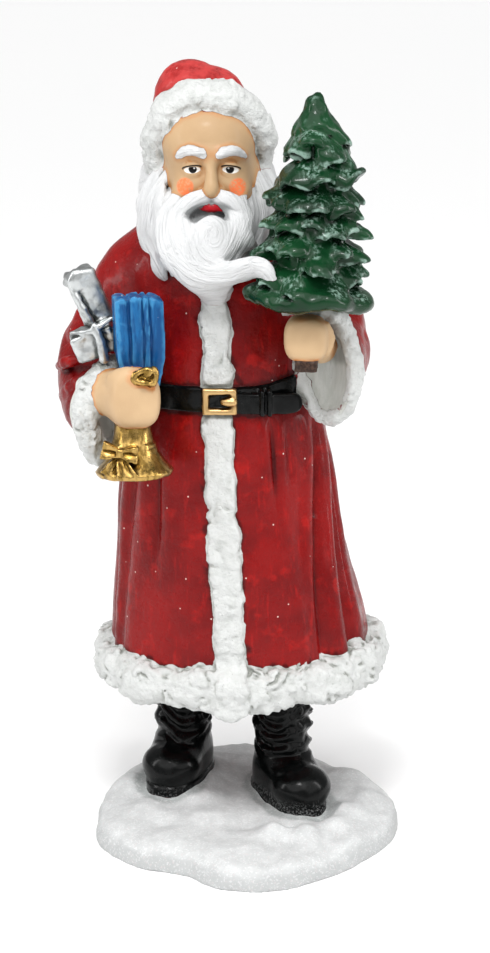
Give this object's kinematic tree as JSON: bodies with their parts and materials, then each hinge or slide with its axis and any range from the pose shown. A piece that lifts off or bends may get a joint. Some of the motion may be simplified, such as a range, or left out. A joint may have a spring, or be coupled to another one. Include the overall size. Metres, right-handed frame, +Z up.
{
  "type": "santa figurine",
  "caption": "Painted cast resin santa figurine in a long fur-trimmed coat, holding a bell, presents and a small fir tree, standing on a round snow base.",
  "frame": {"origin": "centre of the flat underside of the round snow base", "axes": "+Z up; the figure faces -Y; +X is to the right of someone who looks at its face"},
  "size_m": [0.1105, 0.1045, 0.2512],
  "materials": {
    "painted_resin": "gloss paint"
  },
  "bodies": {
    "root": {"santa_figurine": "painted_resin"}
  },
  "joints": []
}
